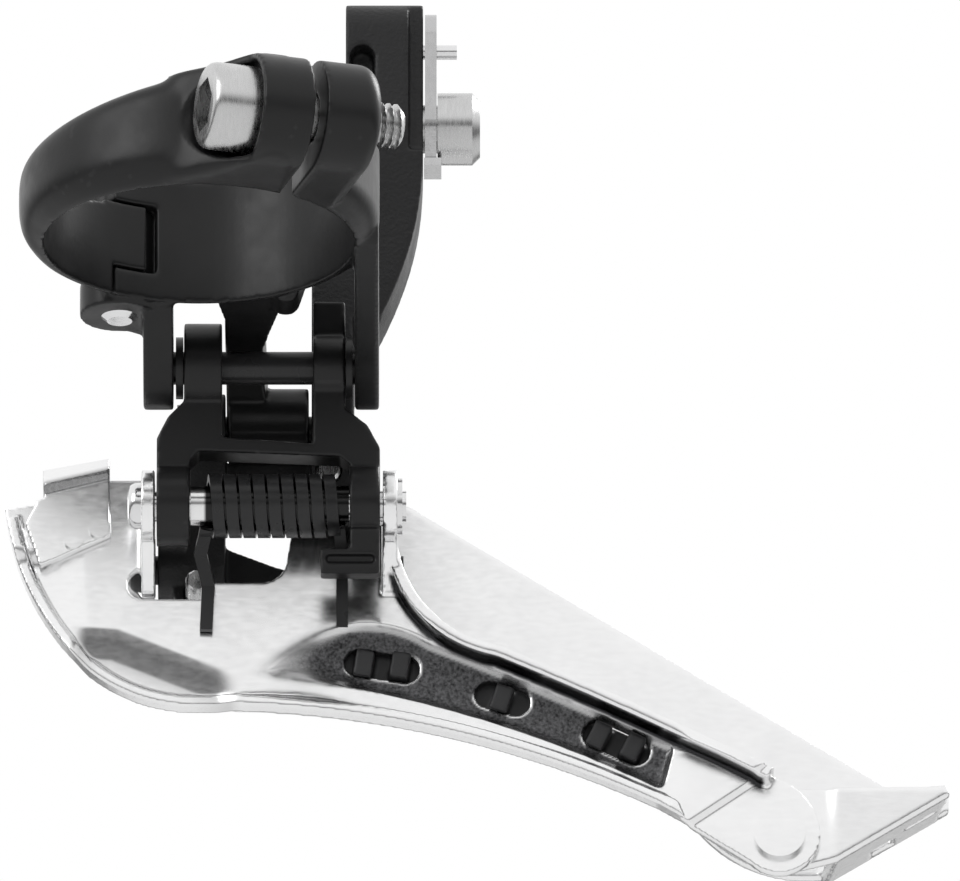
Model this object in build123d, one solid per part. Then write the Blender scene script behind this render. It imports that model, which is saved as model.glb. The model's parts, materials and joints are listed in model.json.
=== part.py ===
from build123d import *
import os
from math import atan2, cos, degrees, radians, sin, sqrt

# Front derailleur with a hinged seat-tube clamp, a parallelogram linkage and a chain cage.
# The origin is on the seat-tube axis at the middle of the clamp ring. +X points rearwards,
# +Y outboard to the drive side and +Z up along the seat tube. All lengths are in millimetres.

os.makedirs("parts", exist_ok=True)

# Fits
RUNNING_GAP = 0.05              # radial clearance of a pin that turns in its hole
SIDE_GAP = 0.25                 # clearance between faces that slide past each other

# Seat-tube clamp ring
TUBE_RADIUS = 15.9
RING_RADIUS = 18.5
RING_HALF_HEIGHT = 6.0
BACK_WALL_TOP = 7.4             # the bracket's ring wall stands a little higher behind the tube
CROWN_RADIUS = 2.2              # rounding of the ring's outside towards its upper rim
LOW_CROWN_RADIUS = 3.0          # the same towards its lower rim
BAND_TOP_FALL = 0.205           # the band's top falls this much per mm towards its hinge side

# Clamp bolt: its axis lies in the ring's middle plane, square to the clamp slit
BOLT_ANGLE = 17.3               # degrees from +X
BOLT_DISTANCE = 22.1            # from the seat-tube axis
BOLT_RADIUS = 2.42
BOLT_TIP = 14.8
BOLT_HEAD_RADIUS = 4.5
BOLT_HEAD_HEIGHT = 5.4
BOLT_SEAT = -0.85
SOCKET_WIDTH = 5.0
SOCKET_DEPTH = 3.2
EAR_RADIUS = 5.9
BAND_EAR_END = 4.0
BODY_EAR_START = 5.3
BODY_EAR_END = 11.4
EAR_END_RADIUS = 1.8
HEAD_POCKET_RADIUS = 5.05
BAND_HOLE_RADIUS = 2.95         # leaves room for the band to swing a little round the bolt

# Band hinge: a vertical pin behind the ring
HINGE_X = -8.3
HINGE_Y = 18.7
HINGE_PIN_RADIUS = 1.5
HINGE_BARREL_RADIUS = 4.1
TONGUE_LOW = -2.7
TONGUE_HIGH = 4.3
PARTING_ANGLE = 123.6           # degrees round the ring, where body and band meet
TONGUE_ANGLE = 110.2            # end of the band's tongue in the body's notch
NOTCH_ANGLE = 106.1

# Linkage pivots, as (Y, Z); all four axes run along X and form an exact parallelogram
PIVOT_A = (27.0, -8.74)         # inner link on the bracket
PIVOT_C = (28.6, -23.42)        # inner link on the cage
PIVOT_B = (39.4, -10.92)        # outer link on the bracket
PIVOT_D = (PIVOT_C[0] + PIVOT_B[0] - PIVOT_A[0], PIVOT_C[1] + PIVOT_B[1] - PIVOT_A[1])
LINK_LEAN = degrees(atan2(PIVOT_C[0] - PIVOT_A[0], PIVOT_A[1] - PIVOT_C[1]))

# Bracket legs and lug
LEG_RADIUS = 4.3
FRONT_LEG = (-5.9, -2.8)        # extent along X
REAR_LEG = (15.9, 18.4)
PIN_A_RADIUS = 1.7
PIN_B_RADIUS = 1.7
LUG = (2.8, 11.1)
LUG_RADIUS = 3.5

# Inner link
KNUCKLE = (-1.7, 2.2)
KNUCKLE_RADIUS = 4.6
REAR_ARM = (11.6, 14.9)
LINK_FRONT_LEG = (-4.5, -1.1)
LINK_REAR_LEG = (15.4, 18.5)
LINK_BOSS_RADIUS = 4.2
LINK_HALF_THICKNESS = 2.1

# Outer link
OUTER_CHEEKS = ((-1.4, 2.5), (11.4, 15.8))      # extent along X of the two cheeks on pivot B
CHEEK_RADIUS_B = 4.0
CHEEK_RADIUS_D = 3.3
WEB = ((38.0, -14.7), (43.0, -14.7), (43.6, -20.6), (38.4, -20.6))     # joins the cheeks, as (Y, Z)
RIB = ((0.4, -22.9), (7.7, -25.8), (11.5, -26.8), (11.5, -28.8), (0.4, -28.8))  # below the pins, (X, Z)
EDGE_RELIEF = (36.7, -20.8)     # clears the inner plate's upper edge at full swing
EDGE_RELIEF_RADIUS = 1.2
FRONT_PIN_END = 1.0             # inner ends of the two pins on pivot D
REAR_PIN_END = 11.6

# Cage pivots, return spring
PIN_C_RADIUS = 1.6
PIN_D_RADIUS = 1.5
BUSH_RADIUS = 2.1
SPRING_WIRE_WIDTH = 1.2
SPRING_WIRE_DEPTH = 0.8
SPRING_RADIUS = 2.9             # to the middle of the wire
SPRING_PITCH = 1.47
SPRING_TURNS = 9
SPRING_START = 0.6

# Cage
SHEET = 1.2
INNER_FACE = 34.0               # inboard face of the inner plate
OUTER_FACE = 47.0               # inboard face of the outer plate
LIP = 1.1                       # how far the rolled rim stands off the plate
BACK_LIP = 2.8                  # the same along the upper edge, from the rear ear to the tail
EMBOSS = 0.9                    # depth of the pressed recess
CRANK_AXIS_Z = -150.0           # the lower rim is concentric with the chainrings
RIM_RADIUS = 106.5
FRONT_EAR = (-6.1, -4.7)
REAR_EAR = (18.8, 20.3)
EAR_C_RADIUS = 3.7
EAR_D_RADIUS = 3.0
SLOTS = (                       # X, Z, length and tilt of the slots for the skid plate's clips
    (18.7, -38.6, 7.7, -9.0),
    (31.1, -42.2, 5.8, -18.0),
    (42.8, -47.1, 7.3, -26.0),
)
SLOT_WIDTH = 2.9
BRIDGE_RIVETS = ((-10.5, -24.3), (-13.1, -25.5))
BRIDGE_TILT = 11.0              # degrees; the front bridge falls forwards
BRIDGE_RIVET_RADIUS = 0.7
BRIDGE_HEAD_RADIUS = 1.05
JOINT_GAP = 0.02                # between sheets that are riveted face to face
TAIL_X = 59.6
TAIL_Z = -57.7
TAIL_RADIUS = 4.2
TAIL_RIVET_RADIUS = 1.6
TAIL_HEAD_RADIUS = 2.66
OUTER_RIM_TOP = -38.0           # height of the outer plate's lower rim above the crank axis
TAIL_FOLD_X = 65.6              # start of the fold between the tail flap and its bridge
TAIL_FOLD_Z = -59.9
TAIL_FOLD_SLOPE = 31.6          # degrees, rising rearwards
TAIL_FOLD_LENGTH = 13.6
TAIL_BRIDGE_RISE = 2.85         # from the flap to the outer plate

# Cable arm
ARM = (14.9, 22.9)
ARM_TOP = (33.4, 31.0)          # centres of the arm's rounded side profile, as (Y, Z)
ARM_BOLT = (34.7, 21.1)
CABLE_BOLT_RADIUS = 2.5
CABLE_HEAD_RADIUS = 3.75
WASHER_PLATE = (23.0, 24.3)

# Limit screws
SCREW_RADIUS = 1.35
LOW_SCREW = (-0.3, -28.9)       # (X, Z)
HIGH_SCREW = (13.2, -16.2)
LOW_SCREW_TIP = 35.3            # Y of the inboard ends
HIGH_SCREW_TIP = 36.0
SCREW_LENGTH = 9.0


def along_x(sketch, start, end):
    """Extrude a sketch of (Y, Z) points from X = start to X = end."""
    return extrude(Plane.YZ.offset(start) * sketch, amount=end - start)


def along_y(sketch, start, end):
    """Extrude a sketch of (X, Z) points from Y = start to Y = end."""
    plane = Plane((0, end, 0), x_dir=(1, 0, 0), z_dir=(0, -1, 0))
    return extrude(plane * sketch, amount=end - start)


def along_z(sketch, start, end):
    """Extrude a sketch of (X, Y) points from Z = start to Z = end."""
    return extrude(Plane.XY.offset(start) * sketch, amount=end - start)


def rod_x(radius, start, end, centre):
    """A cylinder along X through the (Y, Z) point centre."""
    return along_x(Pos(*centre) * Circle(radius), start, end)


def rod_y(radius, start, end, centre):
    """A cylinder along Y through the (X, Z) point centre."""
    return along_y(Pos(*centre) * Circle(radius), start, end)


def rod_z(radius, start, end, centre):
    """A cylinder along Z through the (X, Y) point centre."""
    return along_z(Pos(*centre) * Circle(radius), start, end)


def hull(*discs):
    """The taut outline round discs given as (x, y, radius)."""
    edges = [edge for x, y, radius in discs for edge in (Pos(x, y) * Circle(radius)).edges()]
    return make_hull(edges)


def outline(*points):
    return make_face(Polyline(*points, close=True))


def bolt_plane(travel=0.0):
    """Plane square to the clamp bolt; its x axis points at the seat tube and its y axis up."""
    turn = radians(BOLT_ANGLE)
    direction = Vector(cos(turn), sin(turn), 0)
    inward = Vector(-sin(turn), cos(turn), 0)
    return Plane(inward * -BOLT_DISTANCE + direction * travel, x_dir=inward, z_dir=direction)


def along_bolt(sketch, start, end):
    return extrude(bolt_plane(start) * sketch, amount=end - start)


def in_plan(travel, offset):
    """The (X, Y) point at a distance along the bolt axis and a distance from the tube axis."""
    turn = radians(BOLT_ANGLE)
    return (
        travel * cos(turn) + offset * sin(turn),
        travel * sin(turn) - offset * cos(turn),
    )


def crowned(sketch, fall=0.0):
    """A ring-height solid of a plan outline, rounded over towards both rims.

    The top may fall towards -X by a slope, from full height at X = 0."""
    block = along_z(sketch, -RING_HALF_HEIGHT, RING_HALF_HEIGHT)
    if fall:
        low_end = RING_HALF_HEIGHT - 30 * fall
        top = outline((-30, low_end), (0, RING_HALF_HEIGHT), (30, RING_HALF_HEIGHT), (30, 20), (-30, 20))
        block -= along_y(top, -60, 60)
    low_rim = block.edges().filter_by_position(Axis.Z, -RING_HALF_HEIGHT - 0.1, -RING_HALF_HEIGHT + 0.1)
    block = fillet(low_rim, LOW_CROWN_RADIUS)
    upper_faces = block.faces().filter_by(lambda face: face.normal_at().Z > 0.9)
    upper_rim = [edge for edge in upper_faces.edges() if edge.geom_type != GeomType.LINE or not fall]
    return fillet(upper_rim, CROWN_RADIUS)


def polar(radius, angle):
    return (radius * cos(radians(angle)), radius * sin(radians(angle)))


def ring_sector(inner, outer, first, last, low, high):
    """A piece of ring wall between two angles and two heights."""
    wedge = outline((0, 0), polar(2 * outer, first), polar(2 * outer, (first + last) / 2),
                    polar(2 * outer, last))
    return along_z((Circle(outer) - Circle(inner)) & wedge, low, high)


def tube_bore():
    return rod_z(TUBE_RADIUS, -30, 30, (0, 0))


def body_region():
    """Plan area of the bracket's share of the ring, from the slit round to the hinge."""
    return outline(in_plan(BODY_EAR_START, 45), in_plan(BODY_EAR_START, 6), (0, 0),
                   polar(45, PARTING_ANGLE - 0.4), (-10, 60), (60, 60), (60, -60))


def band_region():
    """Plan area of the clamp band's share of the ring."""
    return outline(in_plan(BAND_EAR_END, 45), in_plan(BAND_EAR_END, 6), (0, 0),
                   polar(45, PARTING_ANGLE + 0.4), (-60, 60), (-60, -60))


def main_bracket():
    """Cast bracket: ring half, clamp ear, hinge knuckles, pivot legs and lug."""
    ring = crowned(Circle(RING_RADIUS))
    ring &= along_z(body_region(), -RING_HALF_HEIGHT, RING_HALF_HEIGHT)
    ear = Circle(EAR_RADIUS) + Pos(4.5, 0) * Rectangle(9, 2 * EAR_RADIUS)
    ear_block = along_bolt(ear, BODY_EAR_START, BODY_EAR_END)
    ear_end = ear_block.faces().sort_by(Axis.X)[-1]
    back_wall = ring_sector(TUBE_RADIUS - 0.5, RING_RADIUS - 0.6, 22, 118, 4.0, BACK_WALL_TOP)
    back_wall = chamfer(back_wall.faces().sort_by(Axis.Z)[-1].edges().sort_by(Axis.Z), 0.5)
    solid = ring + back_wall + fillet(ear_end.edges(), EAR_END_RADIUS)

    knuckle_low = rod_z(HINGE_BARREL_RADIUS, -6.4, TONGUE_LOW - 0.2, (HINGE_X, HINGE_Y))
    knuckle_high = rod_z(HINGE_BARREL_RADIUS, TONGUE_HIGH + 0.2, 6.0, (HINGE_X, HINGE_Y))
    notch_low = TONGUE_LOW - 0.2
    notch_high = TONGUE_HIGH + 0.2
    notch = ring_sector(14.0, 25.0, NOTCH_ANGLE, PARTING_ANGLE + 6, notch_low, notch_high)
    notch += rod_z(HINGE_BARREL_RADIUS + 0.1, notch_low, notch_high, (HINGE_X, HINGE_Y))

    front_leg = along_x(hull((17.0, -4.6, 1.6), (22.5, -4.6, 1.6), (*PIVOT_A, LEG_RADIUS)), *FRONT_LEG)
    rear_leg = along_x(hull((1.5, -3.8, 2.2), (9.0, -1.8, 2.2), (*PIVOT_A, LEG_RADIUS)), *REAR_LEG)
    gusset = outline((-11.0, 17.0), (-11.0, 21.8), (-8.3, 22.8), (-5.9, 24.5), (-2.8, 24.5), (-2.8, 16.0))
    solid += knuckle_low + knuckle_high + front_leg + rear_leg
    solid += along_z(gusset, -6.2, TONGUE_LOW - 0.2)

    neck = outline((14.0, -5.2), (31.0, -5.6), (34.6, -9.0), (37.0, -12.0), (42.4, -9.0),
                   (40.6, -5.0), (34.0, 1.0), (24.0, 4.0), (14.0, 4.6))
    taper = outline((1.2, 14.0), (2.5, 22.5), (2.5, 30.0), (2.8, 43.0), (7.0, 43.0), (6.4, 30.0),
                    (9.2, 14.0))
    solid += along_x(neck, 0, 12) & along_z(taper, -20, 20)
    lug = hull((*PIVOT_B, LUG_RADIUS), (PIVOT_B[0] - 1.4, PIVOT_B[1] + 1.0, LUG_RADIUS - 0.4))
    solid += along_x(lug, *LUG)
    solid += along_y(outline((LUG[0], -13.6), (LUG[1], -13.6), (LUG[1], -8.8), (LUG[0], -8.8)), 35.9, 39.4)
    screw_boss = hull((9.6, 1.5, 2.6), (8.8, -4.6, 1.5))
    solid += along_y(screw_boss, 15.0, 19.2)

    solid -= tube_bore() + notch
    solid -= rod_z(HINGE_PIN_RADIUS, -10, 10, (HINGE_X, HINGE_Y))
    solid -= along_bolt(Circle(BOLT_RADIUS + RUNNING_GAP), BODY_EAR_START - 1, BODY_EAR_END + 1)
    solid -= rod_x(PIN_A_RADIUS, -8, 20, PIVOT_A)
    solid -= rod_x(PIN_B_RADIUS, 0, 14, PIVOT_B)
    return solid


def clamp_band():
    """Hinged front half of the ring, with a shoulder that rises to the ear that the bolt pulls in."""
    ring = crowned(Circle(RING_RADIUS), BAND_TOP_FALL)
    shoulder = hull((*in_plan(-6.2, 15.4), 1.8), (*in_plan(0.8, 22.6), 1.8), (*in_plan(2.8, 12.0), 1.8))
    solid = ring + along_z(shoulder, -RING_HALF_HEIGHT, RING_HALF_HEIGHT)
    rounded_end = Circle(EAR_RADIUS + 0.1) + Pos(30, 0) * Rectangle(60, 2 * RING_HALF_HEIGHT)
    solid &= along_bolt(rounded_end, -60, 30)
    ear_section = Circle(EAR_RADIUS) + Pos(4.5, 0) * Rectangle(9, 2 * EAR_RADIUS)
    solid += along_bolt(ear_section, BOLT_SEAT - 0.6, BAND_EAR_END)
    solid &= along_z(band_region(), -RING_HALF_HEIGHT, RING_HALF_HEIGHT)

    tongue = ring_sector(TUBE_RADIUS - 0.5, RING_RADIUS - 0.1, TONGUE_ANGLE, PARTING_ANGLE + 4,
                         TONGUE_LOW, TONGUE_HIGH)
    solid += tongue + rod_z(HINGE_BARREL_RADIUS - 0.2, TONGUE_LOW, TONGUE_HIGH, (HINGE_X, HINGE_Y))

    clear_knuckle = rod_z(HINGE_BARREL_RADIUS + 0.3, TONGUE_HIGH, 8, (HINGE_X, HINGE_Y))
    clear_knuckle += rod_z(HINGE_BARREL_RADIUS + 0.3, -8, TONGUE_LOW, (HINGE_X, HINGE_Y))
    solid -= clear_knuckle
    solid -= tube_bore()
    solid -= rod_z(HINGE_PIN_RADIUS + RUNNING_GAP, -10, 10, (HINGE_X, HINGE_Y))
    solid -= along_bolt(Circle(HEAD_POCKET_RADIUS), -30, BOLT_SEAT)
    solid -= along_bolt(Circle(BAND_HOLE_RADIUS), -2, 8)
    return solid


def band_hinge_pin():
    """Plain pin, staked at both ends."""
    pin = rod_z(HINGE_PIN_RADIUS, -6.4, 6.0, (HINGE_X, HINGE_Y))
    stake = Cone(1.9, 1.3, 0.5, align=(Align.CENTER, Align.CENTER, Align.MIN))
    low_stake = Pos(HINGE_X, HINGE_Y, -6.4) * Rot(180, 0, 0) * stake
    high_stake = Pos(HINGE_X, HINGE_Y, 6.0) * stake
    return pin + low_stake + high_stake


def clamp_bolt():
    """Socket-head bolt through both ears."""
    head = along_bolt(Circle(BOLT_HEAD_RADIUS), BOLT_SEAT - BOLT_HEAD_HEIGHT, BOLT_SEAT)
    head = fillet(head.edges().filter_by(GeomType.CIRCLE).sort_by(Axis(head.center(), (1, 0, 0)))[0], 0.8)
    solid = head + along_bolt(Circle(BOLT_RADIUS), BOLT_SEAT, BOLT_TIP - 0.6)
    tip = extrude(bolt_plane(BOLT_TIP - 0.6) * Circle(BOLT_RADIUS), amount=0.6, taper=40)
    socket = RegularPolygon(SOCKET_WIDTH / 2, 6, major_radius=False)
    outer_end = BOLT_SEAT - BOLT_HEAD_HEIGHT
    return solid + tip - along_bolt(socket, outer_end, outer_end + SOCKET_DEPTH)


def inner_pivot_pin():
    """Pivot A, fixed in the bracket legs."""
    return rod_x(PIN_A_RADIUS, FRONT_LEG[0], REAR_LEG[1], PIVOT_A)


def inner_pivot_washers():
    """Retaining washers on pivot A, against the inside of each leg."""
    front = rod_x(3.2, -2.55, KNUCKLE[0] - 0.1, PIVOT_A)
    rear = rod_x(3.2, REAR_ARM[1] + 0.1, 15.65, PIVOT_A)
    bore = rod_x(PIN_A_RADIUS, -8, 20, PIVOT_A)
    return [front - bore, rear - bore]


def outer_pivot_pin():
    """Pivot B, fixed in the bracket lug and carrying the outer link's two cheeks."""
    return rod_x(PIN_B_RADIUS, OUTER_CHEEKS[0][0] - 0.6, OUTER_CHEEKS[1][1] - 1.2, PIVOT_B)


def outer_pivot_clip():
    """Spring clip in the groove at the front end of pivot B."""
    start = OUTER_CHEEKS[0][0] - 1.1
    clip = rod_x(2.9, start, start + 0.8, PIVOT_B)
    clip -= rod_x(PIN_B_RADIUS, start - 1, start + 2, PIVOT_B)
    mouth = Pos(*PIVOT_B) * outline((-0.9, 0), (0.9, 0), (1.5, 5), (-1.5, 5))
    return clip - along_x(mouth, start - 1, start + 2)


def link_plane():
    """Sketch plane of the inner link: origin on pivot A, y axis up the link, z axis inboard."""
    lean = radians(LINK_LEAN)
    return Plane((0, *PIVOT_A), x_dir=(1, 0, 0), z_dir=(0, -cos(lean), -sin(lean)))


def link_slab(sketch, outboard, inboard):
    """Extrude a sketch on the link plane between two offsets, counted inboard of the pivots."""
    return extrude(link_plane().offset(outboard) * sketch, amount=inboard - outboard)


def inner_link():
    """Cast H-shaped link with a crossbar above the spring and a spring hook."""
    frame = outline(
        (KNUCKLE[0], 3.0), (KNUCKLE[1], 3.0), (KNUCKLE[1], -7.9), (REAR_ARM[0], -8.6),
        (REAR_ARM[0], 6.6), (REAR_ARM[1], 6.6), (REAR_ARM[1], -4.8), (17.2, -6.6), (18.5, -9.0),
        (18.5, -20.0), (15.4, -20.0), (15.4, -10.8), (14.4, -10.0), (-0.2, -9.4), (-1.1, -10.4),
        (-1.1, -16.6), (-4.5, -16.6), (-4.5, -8.0), (-3.4, -5.8), (KNUCKLE[0], -4.0))
    solid = link_slab(frame, -LINK_HALF_THICKNESS, LINK_HALF_THICKNESS)
    solid += rod_x(KNUCKLE_RADIUS, *KNUCKLE, PIVOT_A)
    solid += rod_x(3.6, *REAR_ARM, PIVOT_A)
    solid += rod_x(LINK_BOSS_RADIUS, *LINK_FRONT_LEG, PIVOT_C)
    solid += rod_x(LINK_BOSS_RADIUS, *LINK_REAR_LEG, PIVOT_C)
    foot = outline((15.4, -18.0), (18.5, -18.0), (18.5, -22.9), (12.4, -22.9), (12.4, -20.2), (15.4, -20.2))
    solid += link_slab(foot, 1.0, 3.4)
    solid -= link_slab(Pos(15.45, -21.3) * Rectangle(5.0, 0.9), 2.8, 3.6)
    solid -= rod_x(PIN_A_RADIUS + RUNNING_GAP, -8, 20, PIVOT_A)
    solid -= rod_x(PIN_C_RADIUS + RUNNING_GAP, -8, 20, PIVOT_C)
    spring_room = rod_x(SPRING_RADIUS + 0.9, LINK_FRONT_LEG[1], LINK_REAR_LEG[0], PIVOT_C)
    return solid - spring_room


def arm_profile():
    """Side profile of the cable arm, from its rounded top down to pivot B."""
    upper = hull((*ARM_TOP, 3.2), (*ARM_BOLT, 4.0))
    return upper + hull((*ARM_BOLT, 4.0), (*PIVOT_B, CHEEK_RADIUS_B))


def arm_face():
    """Face outline of the cable arm, as (X, Z): wide at the cable bolt, curving in to pivot B."""
    low, high = ARM
    left = Polyline((11.4, -18.0), (11.4, 7.0), (low, 12.0), (low, 34.6))
    top = Line((low, 34.6), (high, 34.6))
    right = Line((high, 34.6), (high, 17.5))
    sweep_in = Spline((high, 17.5), (21.9, 8.6), (18.6, 0.0), (15.8, -7.0), tangents=((0, -1), (-0.2, -1)))
    bottom = Polyline((15.8, -7.0), (15.8, -18.0), (11.4, -18.0))
    return make_face(Curve() + [left, top, right, sweep_in, bottom])


def outer_link():
    """Cast outer link: long cable arm above pivot B, two cheeks and the cage boss below it."""
    solid = along_x(arm_profile(), 11.4, ARM[1]) & along_y(arm_face(), 20, 50)
    web = hull((*PIVOT_B, CHEEK_RADIUS_B), (*PIVOT_D, CHEEK_RADIUS_D))
    for start, end in OUTER_CHEEKS:
        solid += along_x(web, start, end)
    solid += along_x(outline(*WEB), OUTER_CHEEKS[0][0], OUTER_CHEEKS[1][1])
    solid += rod_x(CHEEK_RADIUS_D, FRONT_EAR[1] + SIDE_GAP, 0.5, PIVOT_D)
    solid += rod_x(CHEEK_RADIUS_D, OUTER_CHEEKS[1][0], REAR_EAR[0] - SIDE_GAP, PIVOT_D)
    solid += along_y(outline(*RIB), PIVOT_D[0] - 1.6, PIVOT_D[0] + 1.6)
    low_lobe = hull((*LOW_SCREW, 2.5), (LOW_SCREW[0], PIVOT_D[1], 2.6))
    solid += along_y(low_lobe, PIVOT_D[0] - 2.2, PIVOT_D[0] + 2.6)
    high_lobe = hull((*HIGH_SCREW, 2.3), (HIGH_SCREW[0], HIGH_SCREW[1] - 3, 2.3))
    solid += along_y(high_lobe, PIVOT_D[0] - 2.4, PIVOT_D[0] + 3.0)

    solid -= rod_x(PIN_B_RADIUS + RUNNING_GAP, -8, 22, PIVOT_B)
    solid -= rod_x(PIN_D_RADIUS + RUNNING_GAP, -8, FRONT_PIN_END + 0.1, PIVOT_D)
    solid -= rod_x(PIN_D_RADIUS + RUNNING_GAP, REAR_PIN_END - 0.1, 22, PIVOT_D)
    solid -= rod_x(LUG_RADIUS + 0.6, LUG[0] - 0.3, LUG[1] + 0.3, PIVOT_B)
    solid -= rod_x(CABLE_BOLT_RADIUS + RUNNING_GAP, ARM[1] - 6.5, ARM[1] + 1, ARM_BOLT)
    groove = outline((29.0, 34.2), (31.2, 34.2), (32.0, 17.5), (29.8, 17.5))
    solid -= along_x(groove, 21.4, 22.9)
    recess = Pos(16.6, 24.9) * SlotCenterToCenter(5.4, 2.5, rotation=90)
    solid -= along_y(recess, 26, 33.0)
    for screw in (LOW_SCREW, HIGH_SCREW):
        solid -= rod_y(SCREW_RADIUS + RUNNING_GAP, 30, 60, screw)
    solid -= rod_x(0.75, ARM[1] - 1.5, ARM[1] + 1, (ARM_TOP[0] - 0.2, 29.1))
    leg_relief = hull((34.1, -1.8, 1.7), (31.5, -0.8, 1.9))
    solid -= along_x(leg_relief, REAR_LEG[0] - SIDE_GAP, REAR_LEG[1] + SIDE_GAP)
    return solid - rod_x(EDGE_RELIEF_RADIUS, 10, 16.5, EDGE_RELIEF)


def cable_washer_plate():
    """Pressed plate that traps the cable, with a bent foot at its lower end."""
    face = hull((33.4, 30.6, 2.6), (34.7, 21.1, 3.3), (34.9, 18.4, 2.0))
    plate = along_x(face, WASHER_PLATE[0] + 0.1, WASHER_PLATE[1])
    foot = outline((32.9, 16.4), (36.9, 16.4), (36.9, 17.2), (32.9, 17.2))
    plate += along_x(foot, ARM[1] + 0.1, WASHER_PLATE[1] + 0.5)
    plate -= rod_x(CABLE_BOLT_RADIUS + 0.15, 20, 30, ARM_BOLT)
    return plate - rod_x(0.95, 20, 30, (ARM_TOP[0] - 0.2, 29.1))


def cable_guide_pin():
    """Pin that locates the cable above its bolt."""
    return rod_x(0.75, ARM[1] - 1.5, 26.4, (ARM_TOP[0] - 0.2, 29.1))


def cable_fixing_bolt():
    """Bolt that clamps the cable under the washer plate."""
    head = rod_x(CABLE_HEAD_RADIUS, WASHER_PLATE[1] + 0.1, 28.8, ARM_BOLT)
    head = chamfer(head.edges().filter_by(GeomType.CIRCLE).sort_by(Axis.X)[-1], 0.8)
    solid = head + rod_x(CABLE_BOLT_RADIUS, ARM[1] - 6.0, WASHER_PLATE[1] + 0.1, ARM_BOLT)
    socket = Pos(*ARM_BOLT) * RegularPolygon(2.5, 6, major_radius=False)
    return solid - along_x(socket, 25.9, 29)


def limit_screw(place, tip):
    """Set screw with a socket at its outboard end."""
    head = tip + SCREW_LENGTH
    screw = rod_y(SCREW_RADIUS, tip, head, place)
    screw = chamfer(screw.edges().filter_by(GeomType.CIRCLE), 0.3)
    socket = Pos(*place) * RegularPolygon(0.9, 6, major_radius=False)
    return screw - along_y(socket, head - 1.6, head)


def lower_rim(radius, first_x, last_x):
    """Arc concentric with the chainrings between two X positions."""
    def point(x):
        return (x, CRANK_AXIS_Z + sqrt(radius ** 2 - x ** 2))
    return ThreePointArc(point(first_x), point((first_x + last_x) / 2), point(last_x))


def inner_plate_outline():
    """Outline of the inner plate, as (X, Z)."""
    front = ThreePointArc((-20.2, -21.6), (-18.2, -29.6), (-14.4, -36.4))
    toe = ThreePointArc((-14.4, -36.4), (-8.2, -41.7), (0.0, -43.5))
    rim = lower_rim(RIM_RADIUS, 0.0, 47.0)
    end = rim @ 1
    to_tail = Line(end, (56.6, -60.7))
    tail = ThreePointArc((56.6, -60.7), (62.3, -60.9), (63.8, -57.2))
    over_tail = ThreePointArc((63.8, -57.2), (62.2, -53.4), (58.1, -51.0))
    top = ThreePointArc((58.1, -51.0), (44.5, -44.0), (30.8, -37.7))
    neck = ThreePointArc((30.8, -37.7), (23.5, -33.6), (20.3, -26.0))
    middle = Polyline((20.3, -26.0), (20.3, -23.4), (10.4, -23.4), (9.3, -24.6), (8.9, -27.0))
    scoop = RadiusArc((8.9, -27.0), (6.2, -29.7), 2.7)
    window = Polyline((6.2, -29.7), (0.6, -29.7), (0.2, -31.6), (-5.9, -31.6))
    window_end = ThreePointArc((-5.9, -31.6), (-7.5, -30.0), (-6.1, -28.2))
    front_top = Polyline((-6.1, -28.2), (-4.7, -27.2), (-4.7, -18.4), (-10.6, -18.4), (-16.4, -20.9),
                         (-20.2, -21.6))
    lower_parts = [front, toe, rim, to_tail, tail, over_tail]
    upper_parts = [top, neck, middle, scoop, window, window_end, front_top]
    return make_face(Curve() + lower_parts + upper_parts)


def recess_outline(margin=0.0):
    """Outline of the long pressed recess in the inner plate, as (X, Z)."""
    lower = ThreePointArc((6.0, -39.8), (28.2, -44.6), (47.6, -52.7))
    end = Line((47.6, -52.7), (48.8, -47.9))
    upper = ThreePointArc((48.8, -47.9), (36.0, -41.8), (23.6, -36.4))
    crest = ThreePointArc((23.6, -36.4), (19.6, -34.6), (14.6, -34.6))
    start = ThreePointArc((14.6, -34.6), (9.6, -36.6), (6.0, -39.8))
    face = make_face(Curve() + [lower, end, upper, crest, start])
    return offset(face, margin) if margin else face


def clip_slots(width_change=0.0):
    """The three slots that hold the skid plate's clips."""
    faces = []
    for x, z, length, tilt in SLOTS:
        slot = SlotOverall(length + width_change, SLOT_WIDTH + width_change, rotation=tilt)
        faces.append(Pos(x, z) * slot)
    return Sketch() + faces


def ear(extent):
    """Cage ear square to the plate, carrying pivots C and D."""
    side = hull((*PIVOT_C, EAR_C_RADIUS), (*PIVOT_D, EAR_D_RADIUS)) + hull(
        (*PIVOT_C, EAR_C_RADIUS - 1), (INNER_FACE + 0.6, -29.4, 1.8), (*PIVOT_D, EAR_D_RADIUS - 1))
    return along_x(side, *extent)


def low_limit_screw():
    """Stops the cage over the small chainring."""
    return limit_screw(LOW_SCREW, LOW_SCREW_TIP)


def high_limit_screw():
    """Stops the cage over the large chainring."""
    return limit_screw(HIGH_SCREW, HIGH_SCREW_TIP)


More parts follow.
